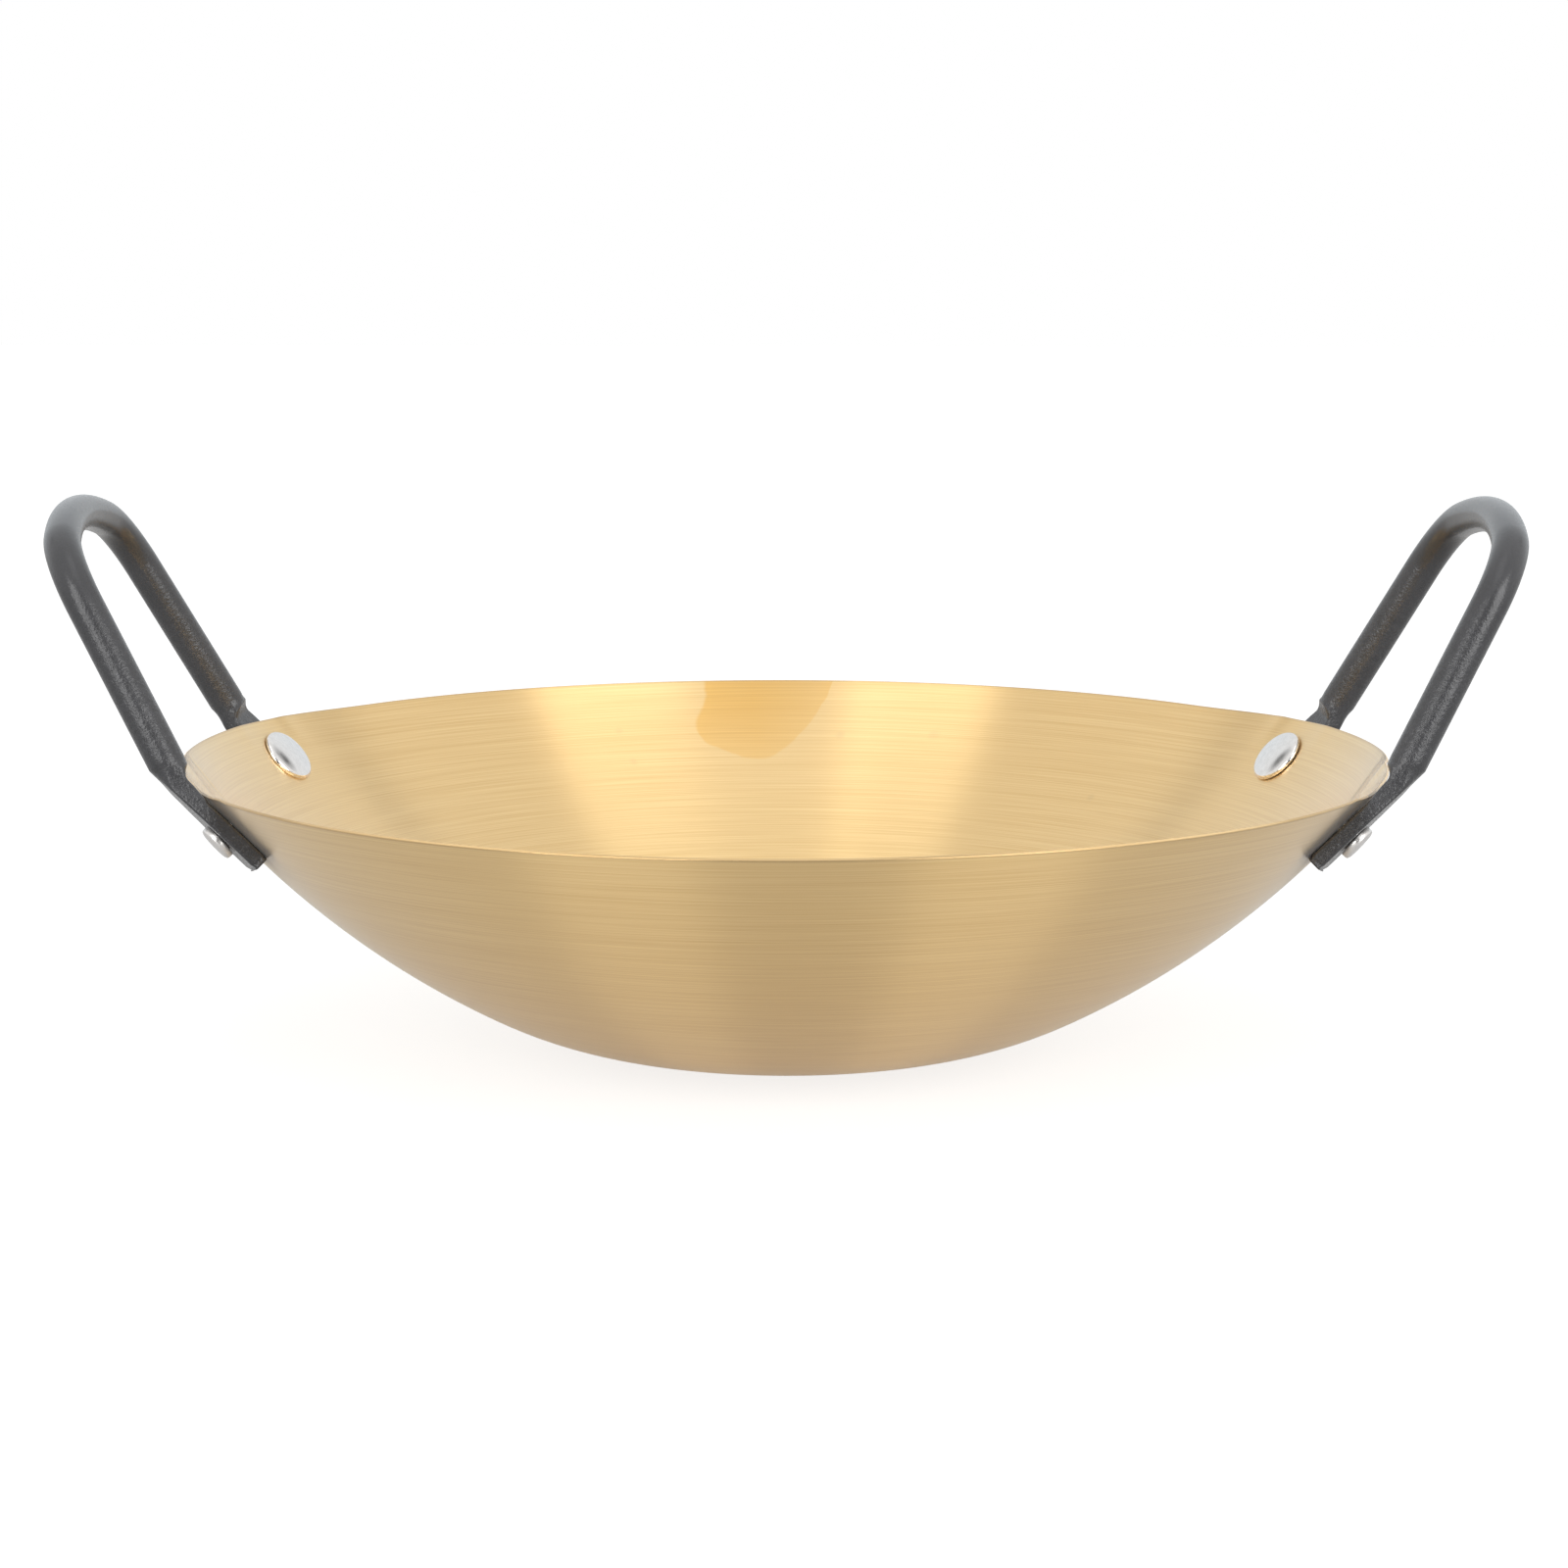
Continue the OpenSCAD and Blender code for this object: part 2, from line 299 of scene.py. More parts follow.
def wallShift(angle, drop):
    # how far the wall moves out along its normal: a bell at each handle end less the creases beside it, a ridge less
    # its hollow along each dent, and less the sum of two bells at each notch, all eased out down the wall
    p = bowl
    out = np.zeros(np.broadcast(angle, drop).shape)
    depth, width, reach = p["pull"]
    for azimuth in rivetTurns:
        side = turnFrom(azimuth, angle) * p["rimR"]
        out += depth * bell(side, width) * ease(1 - drop / reach)
        away = side * np.sign(np.cos(azimuth) * np.sin(azimuth))
        for creaseDepth, start, gain, creaseWidth, creaseReach in p["creases"]:
            out -= creaseDepth * bell(away - start - gain * drop, creaseWidth) * ease(1 - drop / creaseReach)
    height, width = p["ridge"]
    for azimuth, turn in p["dents"]:
        side = besideLine(angle, drop, azimuth, turn)
        ridge = bell(side, width) - p["hollow"][0] * bell(side + p["hollow"][1] * width, width)
        out += height * ridge * dentShare(drop)
    for azimuth, amount in p["notches"]:
        side = besideLine(angle, drop, azimuth)
        shape = sum(share * bell(side, half) for share, half in p["notchShape"])
        out -= amount * shape * ease(1 - drop / p["notchReach"])
    return out


def rimLift(angle, drop):
    # how far the wall is drawn up along its own slope: a flat-topped bump at each far foot, eased out down the wall
    p = bowl
    out = np.zeros(np.broadcast(angle, drop).shape)
    for azimuth, amount in p["lifts"]:
        off = np.abs(np.degrees(turnFrom(np.radians(azimuth), angle)))
        out += amount * ease((p["liftHalf"] - off) / p["liftSlope"]) * ease(1 - drop / p["liftReach"])
    return out


def makeBowl():
    # the profile turned round the axis, x = radius cos(angle), y = radius sin(angle), after each point has moved by
    # the shift along the wall's normal and by the lift along its slope
    p = bowl
    at, r, z, slope, length = bowlProfile()
    t, outerE, innerE = p["sheet"], p["outerRound"], p["innerRound"]
    inward = np.stack([-np.sin(slope), np.cos(slope)], -1)
    outer = np.stack([r, z], -1)
    inner = outer + t * inward
    tip, across = outer[-1].copy(), inward[-1]
    along = np.array([np.cos(slope[-1]), np.sin(slope[-1])])
    outer[-1] -= outerE * along
    inner[-1] -= innerE * along
    # the cut edge: a round at the outer face, a flat, and a smaller round at the inner face
    turn = np.linspace(0, np.pi / 2, p["edgeRows"])[1:, None]
    nearRound = tip + outerE * (across - along) + outerE * (np.sin(turn) * along - np.cos(turn) * across)
    farRound = tip + (t - innerE) * across - innerE * along + innerE * (np.cos(turn) * along + np.sin(turn) * across)
    flat = tip + np.array([[outerE + p["flatGap"]], [t - innerE - p["flatGap"]]]) * across
    edge = np.concatenate([nearRound, flat, tip + (t - innerE) * across[None], farRound[:-1]])
    profile = np.concatenate([outer, edge, inner[::-1]])
    # run: the way up the outside and down the inside; drop: the distance below the rim on either side
    run = np.concatenate([at, np.full(len(edge), length), 2 * length - at[::-1]])[:, None]
    drop = length - np.minimum(run, 2 * length - run)
    # the columns crowd towards the handles, where the wall is dented
    angle = np.linspace(0, 2 * np.pi, p["columns"], endpoint=False)[None, :]
    angle = angle - p["crowding"] * np.sin(2 * angle)
    fade = ease(1 - drop / p["waveReach"])
    shift = wallShift(angle, drop)
    for amount, number, phase in p["waves"]:
        shift = shift + amount * np.sin(number * angle + phase) * fade
    lift = rimLift(angle, drop)
    lean = np.interp(drop, length - at[::-1], slope[::-1])
    radius = profile[:, :1] + shift * np.sin(lean) + lift * np.cos(lean)
    height = profile[:, 1:] - shift * np.cos(lean) * fade + lift * np.sin(lean)
    rings = np.stack(np.broadcast_arrays(radius * np.cos(angle), radius * np.sin(angle), height), -1)
    uv = np.stack(np.broadcast_arrays(angle / (2 * np.pi), run / (2 * length)), -1)
    piece = ringSurface("spunBowl", rings, (0, 0, 0), (0, 0, t), uv)
    # corner: painted shade along the two corners of the cut edge, less on the flat between them, and on the walls only
    # close to the edge
    edgeShade = p["edgeShadeOuter"] * bell(length - at, p["edgeShadeReach"])
    corner = np.concatenate([
        edgeShade, np.full(len(nearRound), p["edgeShadeOuter"]), np.full(len(flat), p["edgeShadeFlat"]),
        np.full(len(farRound), p["edgeShadeInner"]), edgeShade[::-1],
    ])
    markPoints(piece, "corner", np.append(np.repeat(corner, p["columns"]), [0, 0]))
    # crease: painted shade in a line along each dent, on the inner wall only
    creaseShade = sum(bell(besideLine(angle, drop, *dent), p["creaseShadeWidth"]) for dent in p["dents"])
    creaseShade = creaseShade * dentShare(drop) * (run > length)
    markPoints(piece, "creaseShade", np.append(creaseShade.ravel(), [0, 0]))
    return piece, length


bowlPiece, wallLength = makeBowl()
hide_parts("wok_bowl")
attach(bowlPiece, "root")
print("bowl made:", len(bowlPiece.data.polygons), "faces")


# handles: one closed skin carried along the rod, from one pressed end over the grip to the other

handle = {
    # the rod, the height of the grip above the feet along the leaning plane, the outer radius of the corners and of
    # the arched top, how far the plane leans out and the legs lean together
    "rod": 7.2, "gripH": 49.2, "cornerR": 17.4, "crownR": 98.0, "tilt": 61.5, "lean": 12.4,
    # the pressed end: thickness, width, length below and above its rivet, length of the shoulder, the distance below
    # the rim at which its plane touches the wall, and its gap to the wall
    "tabT": 3.0, "tabW": 12.0, "tabTail": 8.6, "tabHead": 12.2, "shoulder": 6.6, "touchDrop": 17.0, "seatGap": 0.1,
    "edgeRound": 0.55, "endRound": 0.35,
    # shares of the shoulder between which the thickness drops; what is left over below it, and the length of that
    "pressStart": 0.42, "pressEnd": 1.0, "thicker": 0.6, "thinOver": 6.0,
    # distances below the bend between which the sides spread; how late the section grows square; share of the leg
    # over which it turns into the leaning plane
    "spreadFrom": 3.0, "spreadTo": 17.0, "squareLate": 0.15, "legTurn": 0.6,
    # the most that an edge's round takes of the half thickness; the grid: points round a section, the share of a
    # quarter turn that lies on each straight side, and rows
    "mostRound": 0.95, "roundPoints": 64, "sideShare": 0.1875,
    "endRows": 6, "flatRows": 20, "shoulderRows": 30, "legRows": 30, "cornerRows": 26, "crownRows": 14,
}


def slopeAt(drop):
    return np.radians(bowl["rimSlope"]) - drop / bowl["sideR"]


def wallFrame(slope, azimuth):
    # a point of the outer face, the way out of the wall and the way down it
    c, s = np.cos(azimuth), np.sin(azimuth)
    radius = sideC[0] + bowl["sideR"] * np.sin(slope)
    height = sideC[1] - bowl["sideR"] * np.cos(slope)
    point = np.array([radius * c, radius * s, height])
    out = np.array([np.sin(slope) * c, np.sin(slope) * s, -np.cos(slope)])
    down = np.array([-np.cos(slope) * c, -np.cos(slope) * s, -np.sin(slope)])
    return point, out, down


def handleSeat():
    # the rivet's point on the inner face of the pressed end, and the way out of that face: from the touching point,
    # a gap outwards and up the touching plane
    point, out, down = wallFrame(slopeAt(handle["touchDrop"]), rivetTurns[0])
    return point + handle["seatGap"] * out - (handle["touchDrop"] - rivetPlace["drop"]) * down, out


def handlePath():
    # half of the handle, from its cut end up to the middle of the grip, as six rows: centre, travel and outward way,
    # half width, half thickness and squareness of each section
    p = handle
    seat, out = handleSeat()
    up = unit([-out[2], 0, out[0]])
    rod = p["rod"] / 2
    lean, tilt = np.radians(p["lean"]), np.radians(p["tilt"])
    across = np.array([0, 1, 0])
    planeUp = np.array([np.cos(tilt), 0, np.sin(tilt)])
    planeOut = np.array([np.sin(tilt), 0, -np.cos(tilt)])
    legUp = np.cos(lean) * planeUp - np.sin(lean) * across
    legOut = unit(out - (out @ legUp) * legUp)
    bend = seat + p["tabT"] * out + (p["tabHead"] + p["shoulder"]) * up
    foot = bend - rod * legOut
    bendAngle = np.arccos(legUp @ up)
    rows = []

    def add(centre, travel, outward, a, b, square):
        n = len(centre)
        vectors = [np.broadcast_to(v, (n, 3)) for v in (centre, travel, outward)]
        rows.append(vectors + [np.broadcast_to(v, n) for v in (a, b, square)])

    def inPlane(flat):
        # the first number goes across and the second up the leaning plane, from the foot
        return np.array([foot[0], 0, foot[2]]) + flat[:, :1] * across + flat[:, 1:] * planeUp

    def addArc(centre, radius, start, end, count):
        # centre + radius (cos, sin) of the angle, travelling (-sin, cos)
        angle = np.linspace(start, end, count)[1:, None]
        c, s = np.cos(angle), np.sin(angle)
        add(inPlane(centre + radius * np.concatenate([c, s], 1)), c * planeUp - s * across, planeOut, rod, rod, 0.0)

    # the pressed end: its outer face stays on one line, the inner face steps down below the bend and thins towards
    # the rivet, and the sides spread between the step and the rivet; its first rows run out over the round of the end
    e = p["endRound"]
    length = p["tabHead"] + p["shoulder"] + p["tabTail"]
    turn = np.linspace(0, np.pi / 2, p["endRows"])
    fromBend = np.concatenate([
        length - e * (1 - np.sin(turn)),
        np.linspace(length - e, p["shoulder"], p["flatRows"])[1:],
        np.linspace(p["shoulder"], 0, p["shoulderRows"])[1:],
    ])
    cut = np.concatenate([e * (1 - np.cos(turn)), np.zeros(len(fromBend) - p["endRows"])])
    share = np.clip(fromBend / p["shoulder"], 0, 1)
    flat = ease((share - p["pressStart"]) / (p["pressEnd"] - p["pressStart"]))
    pressed = p["tabT"] + p["thicker"] * ease(1 - (fromBend - p["shoulder"]) / p["thinOver"])
    thick = mix(p["rod"] - share * p["shoulder"] * np.sin(bendAngle), pressed, flat) / 2 - cut
    wider = ease((fromBend - p["spreadFrom"]) / (p["spreadTo"] - p["spreadFrom"]))
    half = mix(rod, p["tabW"] / 2, wider) - cut
    travel = unit(mix(legUp, up, ease(share)[:, None]))
    outward = mix(legOut, out, ease(share)[:, None])
    outward = unit(outward - np.einsum("ij,ij->i", outward, travel)[:, None] * travel)
    centre = bend - fromBend[:, None] * up - outward * (thick + cut)[:, None]
    add(centre, travel, outward, half, thick, ease(share * (1 + p["squareLate"]) - p["squareLate"]))
    # the leg goes straight up until its corner's arc meets the arc of the top: the place along it where the corner's
    # centre lies crownR - cornerR from the top's centre
    leanDir = np.array([-np.sin(lean), np.cos(lean)])
    crownC = np.array([0, p["gripH"] - p["crownR"]])
    start = np.array([foot[1], 0]) - p["cornerR"] * np.array([np.cos(lean), np.sin(lean)]) - crownC
    along = -start @ leanDir
    along += np.sqrt((start @ leanDir) ** 2 - start @ start + (p["crownR"] - p["cornerR"]) ** 2)
    cornerC = start + crownC + along * leanDir
    crownHalf = np.arctan2(cornerC[0], cornerC[1] - crownC[1])
    at = np.linspace(0, along, p["legRows"])[1:, None]
    outward = unit(mix(legOut, planeOut, ease(at / (p["legTurn"] * along))))
    outward = unit(outward - (outward @ legUp)[:, None] * legUp)
    add(inPlane(np.array([foot[1], 0]) + at * leanDir), legUp, outward, rod, rod, 0.0)
    addArc(cornerC, p["cornerR"], lean, np.pi / 2 - crownHalf, p["cornerRows"])
    addArc(crownC, p["crownR"], np.pi / 2 - crownHalf, np.pi / 2, p["crownRows"])
    return [np.concatenate(column) for column in zip(*rows)]


def sectionShape(half, thick, square):
    # points round each section: the point of a round rod mixed, by the squareness, with the point at the same place
    # of a rectangle with rounded corners
    p = handle
    turn = (np.arange(p["roundPoints"]) + 0.5) / p["roundPoints"] * 2 * np.pi
    c, s = np.cos(turn)[None], np.sin(turn)[None]
    a, b, q = half[:, None], thick[:, None], square[:, None]
    r = np.minimum(p["edgeRound"], b * p["mostRound"])
    # the corner arcs take the middle of each quarter turn, and the straight sides its two ends
    side = p["sideShare"]
    quarterNumber = np.floor(turn / (np.pi / 2))
    quarter = turn / (np.pi / 2) - quarterNumber
    full = (quarterNumber + np.clip((quarter - side) / (1 - 2 * side), 0, 1)) * np.pi / 2
    x = (a - r) * np.sign(c) + r * np.cos(full)[None]
    y = (b - r) * np.sign(s) + r * np.sin(full)[None]
    toStart, toEnd = np.clip(quarter / side, 0, 1), np.clip((1 - quarter) / side, 0, 1)
    odd = quarterNumber % 2 == 1
    x = x * np.where(odd, toStart, toEnd)
    y = y * np.where(odd, toEnd, toStart)
    return mix(a * c, x, q), mix(b * s, y, q)


def makeHandle(name, side):
    # each section laid across the path, centre + x across + y outward; the second half mirrors the first
    centre, travel, outward, half, thick, square = handlePath()
    flip = np.array([1, -1, 1])
    centre = np.concatenate([centre, (centre * flip)[-2::-1]])
    travel = np.concatenate([travel, (-travel * flip)[-2::-1]])
    outward = np.concatenate([outward, (outward * flip)[-2::-1]])
    half, thick, square = (np.concatenate([v, v[-2::-1]]) for v in (half, thick, square))
    centre, travel, outward = (v * np.array([side, 1, 1]) for v in (centre, travel, outward))
    across = unit(np.cross(outward, travel))
    x, y = sectionShape(half, thick, square)
    rings = centre[:, None] + x[..., None] * across[:, None] + y[..., None] * outward[:, None]
    return ringSurface(name, rings, centre[0], centre[-1])


handlePieces = []
for name, nodeName, side in (("leftRod", "left_handle", -1), ("rightRod", "right_handle", 1)):
    piece = makeHandle(name, side)
    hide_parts(nodeName)
    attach(piece, "root")
    handlePieces.append(piece)
print("handles made:", [len(piece.data.polygons) for piece in handlePieces])


# rivets: a closed surface of revolution about the normal of the wall at its own place

rivet = {
    "shank": 5.0, "headD": 12.3, "headH": 1.4, "headRound": 0.85, "tailD": 7.2, "tailH": 1.5,
    # the gap under the head and the closed end, the small step at the foot of the head's shoulder, the shank's fillet
    "seatGap": 0.05, "step": 0.04, "fillet": 0.1,
    # the foot of the closed end: in from its radius, up from its seat
    "tailFoot": ((0.12, 0.0), (0.036, 0.036), (0.0, 0.12)),
    # its side and its slightly hollow top: in from its radius, down from its top
    "tailTop": (
        (0.0, 0.57), (0.04, 0.45), (0.1575, 0.2025), (0.45, 0.10), (0.57, 0.03), (0.99, 0.0), (1.8, 0.05), (2.88, 0.07),
    ),
    # how far out of the wall the worked part begins, and the grid
    "workedFrom": 1.0, "columns": 96, "domeRows": 18, "shoulderRows": 16,
}


def rivetProfile():
    # radius and height out of the wall, from the middle of the dome to the middle of the closed end
    p = rivet
    slope = slopeAt(rivetPlace["drop"])
    headR, tailR, shankR = p["headD"] / 2, p["tailD"] / 2, p["shank"] / 2
    wallR = (bowl["sideR"] - bowl["sheet"]) * np.sin(slope)
    head = -bowl["sheet"] - (wallR - np.sqrt(wallR ** 2 - headR ** 2)) - p["seatGap"]
    seat, out = handleSeat()
    lowPoint, lowOut, _ = wallFrame(slope, rivetTurns[0])
    tail = (seat + handle["tabT"] * out - lowPoint) @ lowOut
    tail += tailR * np.sin(slope - slopeAt(handle["touchDrop"])) + p["seatGap"]
    top = tail + p["tailH"]
    # the head is a flat dome that meets a round shoulder at a common slope, the one that gives the head its height:
    # (headR - q (1 - sin(slope))) tan(slope / 2) + q cos(slope), looked up among tried slopes
    q = p["headRound"]
    tried = np.linspace(0.05, 0.6, 400)
    heights = (headR - q * (1 - np.sin(tried))) * np.tan(tried / 2) + q * np.cos(tried)
    meet = np.interp(p["headH"] - p["step"], heights, tried)
    joinR = headR - q * (1 - np.sin(meet))
    domeR = joinR / np.sin(meet)
    r = np.linspace(0, joinR, p["domeRows"])[1:]
    dome = np.stack([r, head - p["headH"] + domeR - np.sqrt(domeR ** 2 - r ** 2)], -1)
    turn = np.linspace(meet, np.pi / 2, p["shoulderRows"])[1:]
    shoulder = np.stack([headR - q * (1 - np.sin(turn)), head - p["step"] - q * np.cos(turn)], -1)
    f = p["fillet"]
    shank = np.array([
        [headR - p["step"], head], [(headR + shankR) / 2, head], [shankR + f, head], [shankR, head + f],
        [shankR, head + 1.0], [shankR, tail - f], [shankR + f, tail],
    ])
    foot = np.array([[tailR - inside, tail + up] for inside, up in p["tailFoot"]])
    closed = np.array([[tailR - inside, top - down] for inside, down in p["tailTop"]])
    return np.concatenate([dome, shoulder, shank, foot, closed]), head - p["headH"], closed[-1, 1]


def makeRivet(name, sideX, sideY):
    # the profile turned round the way out of the wall: point + radius (cos down + sin across) + height out
    profile, low, high = rivetProfile()
    frameAt = wallFrame(slopeAt(rivetPlace["drop"]), rivetTurns[0])
    point, out, down = (v * np.array([sideX, sideY, 1]) for v in frameAt)
    across = unit(np.cross(out, down))
    angle = np.linspace(0, 2 * np.pi, rivet["columns"], endpoint=False)[None, :, None]
    spoke = np.cos(angle) * down + np.sin(angle) * across
    rings = point + profile[:, :1, None] * spoke + profile[:, 1:, None] * out
    piece = ringSurface(name, rings, point + low * out, point + high * out)
    # worked: 0 on the polished head and 1 on the closed end
    height = np.append(np.repeat(profile[:, 1], rivet["columns"]), [low, high])
    markPoints(piece, "worked", height > rivet["workedFrom"])
    return piece


rivetPieces = []
for sideX, left in ((-1, "left"), (1, "right")):
    for sideY, front in ((-1, "front"), (1, "rear")):
        piece = makeRivet("%s%sRivet" % (left, front.capitalize()), sideX, sideY)
        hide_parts("rivet_%s_%s" % (left, front))
        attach(piece, "root")
        rivetPieces.append(piece)
print("rivets made:", len(rivetPieces))


# bowl finish: gold sheet brushed round the axis

goldFinish = {
    "deep": (0.835, 0.556, 0.216, 1), "bright": (1.0, 0.736, 0.355, 1),
    # the fourth colour serves the small dull marks and the painted shade along each dent, and the last is painted shade
    # along the corners of the cut edge
    "amberTint": (0.968, 0.815, 0.440, 1), "markAndCreaseShade": (0.66, 0.46, 0.22, 1), "edgeShade": (0.46, 0.28, 0.11, 1),
    "coat": 1.0, "coatRoughness": 0.30, "coatIor": 1.55, "sheen": 0.30, "sheenRoughness": 0.35,
    "stretch": 1.0, "stretchTurn": 0.25,
    # brushed lines: radius of the circle that the turn goes round, number up the wall, detail, place in the noise
    "hair": (4.2, 1750.0, 1.0, 0.0), "stroke": (2.2, 1050.0, 1.0, 7.3), "sweep": (1.0, 300.0, 2.0, 3.1),
    "lineRoughness": 0.62,
    # noises over the piece: scale, detail, roughness
    "cloud": (30.0, 3.0, 0.55), "ragged": (160.0, 3.0, 0.5),
    # the tone is a sum of the four, each spread over this range: shares of hair, stroke, sweep and cloud
    "toneRange": (0.33, 0.67), "toneShares": (0.30, 0.55, 0.10, 0.05),
    # roughness and height are sums of hair and stroke
    "wearShares": (0.6, 0.4), "wearTo": (0.3, 0.7, 0.315, 0.345),
    "heightShares": (0.4, 0.8), "lineDepth": 0.00003, "lineStrength": 0.12,
    # the amber patch on the far inner wall, darker and more saturated than the wall around it: its lower edge as
    # azimuth in degrees and mm below the rim
    "patchEdge": (
        (84.0, -2.0), (84.4, 2.7), (85.1, 6.2), (86.3, 10.8), (87.9, 15.4), (89.7, 19.0),
        (91.8, 21.6), (93.8, 21.5), (95.6, 20.4), (97.6, 18.2), (99.0, 16.6), (100.0, 13.0),
    ),
    # least depth and span of that edge; how soft it is, in mm
    "patchLeast": -2.0, "patchSpan": 24.0, "patchSoft": (-0.3, 0.5),
    # its left side moves from one azimuth to another between two depths; how soft it is, in degrees
    "patchSide": (4.0, 11.0, 98.4, 99.9), "patchSideSoft": (-0.15, 0.25),
    # it starts just below the rim, and weakens downwards and to the right; the cloud thins it a little
    "patchTop": (0.0, 0.2), "patchDown": (5.0, 20.0, 1.0, 0.62), "patchAcross": (86.0, 93.0, 0.62, 1.0),
    "patchCloud": (0.3, 0.7, 0.85, 1.0),
    # small dull marks: azimuth, mm below the rim, radius; mean radius of the wall there; shares of the mark's radius
    # between which it fades, and its strength
    "marks": ((108.3, 21.4, 0.8), (109.2, 12.8, 0.7), (82.9, 14.8, 0.9), (71.6, 13.9, 1.0), (47.7, 27.4, 0.8)),
    "markWallR": 105.0, "markSoft": (0.4, 1.6), "markShare": 0.22,
    # shares of the painted shade along each dent, in the marks' colour, and along the corners of the cut edge
    "creaseShadeShare": 0.7, "edgeShadeShare": 0.85,
}


def amberPatch(tree, azimuth, depth, ragged, cloud):
    # how much of the patch there is at a place: the product of what its edges and its fades let through
    p = goldFinish
    near, far = p["patchEdge"][0][0], p["patchEdge"][-1][0]
    edge = tree.nodes.new("ShaderNodeFloatCurve")
    fill(tree, edge, {"Value": spread(tree, azimuth, near, far)})
    points = edge.mapping.curves[0].points
    while len(points) < len(p["patchEdge"]):
        points.new(0.5, 0.5)
    for point, (at, low) in zip(points, p["patchEdge"]):
        point.location = ((at - near) / (far - near), (low - p["patchLeast"]) / p["patchSpan"])
    edge.mapping.update()
    lower = maths(tree, "MULTIPLY_ADD", edge.outputs[0], p["patchSpan"], p["patchLeast"])
    side = spread(tree, depth, *p["patchSide"])
    inside = spread(tree, minus(tree, lower, plus(tree, depth, ragged)), *p["patchSoft"])
    for part in (
        spread(tree, minus(tree, side, azimuth), *p["patchSideSoft"]),
        spread(tree, depth, *p["patchTop"]),
        spread(tree, depth, *p["patchDown"]),
        spread(tree, azimuth, *p["patchAcross"]),
        spread(tree, cloud, *p["patchCloud"]),
    ):
        inside = times(tree, inside, part)
    return inside


def brushedGold():
    material, tree, out = newMaterial("brushedGold")
    p = goldFinish
    uv = node(tree, "UVMap", {"uv_map": "brush"}).outputs[0]
    split = node(tree, "SeparateXYZ", i0=uv)
    turn = times(tree, split.outputs[0], 2 * np.pi)
    cosine, sine = maths(tree, "COSINE", turn), maths(tree, "SINE", turn)

    def lines(circle, number, detail, shift):
        # the turn becomes a point on a circle, so that the lines meet without a seam
        z = maths(tree, "MULTIPLY_ADD", split.outputs[1], number, shift)
        vector = node(tree, "CombineXYZ", i0=times(tree, cosine, circle), i1=times(tree, sine, circle), i2=z)
        return noise(tree, vector.outputs[0], 1.0, detail, p["lineRoughness"])

    def blend(parts, shares):
        total = times(tree, parts[0], shares[0])
        for part, share in zip(parts[1:], shares[1:]):
            total = plus(tree, total, times(tree, part, share))
        return total

    hair, stroke, sweep = lines(*p["hair"]), lines(*p["stroke"]), lines(*p["sweep"])
    at = pieceCoords(tree)
    cloud = noise(tree, at, *p["cloud"])
    tone = blend([spread(tree, part, *p["toneRange"]) for part in (hair, stroke, sweep, cloud)], p["toneShares"])
    colour = tint(tree, tone, p["deep"], p["bright"])
    # azimuth in degrees and mm below the rim on the inner wall, the first with a slightly ragged edge
    ragged = minus(tree, noise(tree, at, *p["ragged"]), 0.5)
    azimuth = plus(tree, times(tree, split.outputs[0], 360.0), ragged)
    depth = times(tree, minus(tree, split.outputs[1], 0.5), 2 * wallLength)
    colour = tint(tree, amberPatch(tree, azimuth, depth, ragged, cloud), colour, p["amberTint"], "MULTIPLY")
    for markAzimuth, markDepth, markRadius in p["marks"]:
        across = times(tree, minus(tree, azimuth, markAzimuth), np.radians(1) * p["markWallR"])
        down = minus(tree, depth, markDepth)
        away = maths(tree, "SQRT", plus(tree, maths(tree, "POWER", across, 2.0), maths(tree, "POWER", down, 2.0)))
        near, far = (share * markRadius for share in p["markSoft"])
        colour = tint(tree, spread(tree, away, near, far, p["markShare"], 0.0), colour, p["markAndCreaseShade"])
    # painted shade along each dent, in the colour of the dull marks
    colour = tint(tree, times(tree, marked(tree, "creaseShade"), p["creaseShadeShare"]), colour, p["markAndCreaseShade"])
    # painted shade along the corners of the cut edge
    colour = tint(tree, times(tree, marked(tree, "corner"), p["edgeShadeShare"]), colour, p["edgeShade"])
    wear = blend((hair, stroke), p["wearShares"])
    height = blend((hair, stroke), p["heightShares"])
    shader = node(tree, "BsdfPrincipled")
    fill(tree, shader, {
        "Base Color": colour, "Metallic": 1.0, "Roughness": spread(tree, wear, *p["wearTo"]),
        "Anisotropic": p["stretch"], "Anisotropic Rotation": p["stretchTurn"],
        "Tangent": node(tree, "Tangent", {"direction_type": "UV_MAP", "uv_map": "brush"}).outputs[0],
        "Coat Weight": p["coat"], "Coat Roughness": p["coatRoughness"], "Coat IOR": p["coatIor"],
        "Sheen Weight": p["sheen"], "Sheen Roughness": p["sheenRoughness"],
        "Normal": bumped(tree, height, p["lineStrength"], p["lineDepth"]),
    })
    tree.links.new(shader.outputs[0], out.inputs[0])
    return material


# handle finish: black coat with a fine leathery grain

coatFinish = {
    "black": (0.034, 0.034, 0.036, 1), "grey": (0.066, 0.066, 0.071, 1), "sheen": 0.20, "sheenRoughness": 0.35,
    # noises over the piece: scale, detail, roughness, distortion
    "grain": (2400.0, 2.0, 0.6), "pebble": (1000.0, 2.0, 0.55, 1.2), "cloud": (90.0, 3.0),
    # the crest is a sum of grain and pebble, each spread over this range; the height is the two with other shares
    "crestRange": (0.32, 0.68), "crestGrain": 0.45, "crestPebble": 0.55, "heightGrain": 0.4,
    "cloudTo": (0.3, 0.7, 0.65, 1.0), "roughTo": (0.2, 0.8, 0.30, 0.17),
    "grainDepth": 0.00015, "grainStrength": 0.9,
    # heights in metres between which the grain fades towards the top of the grip, and its strength before and after
    "gripTo": (0.082, 0.099, 1.0, 0.25),
}


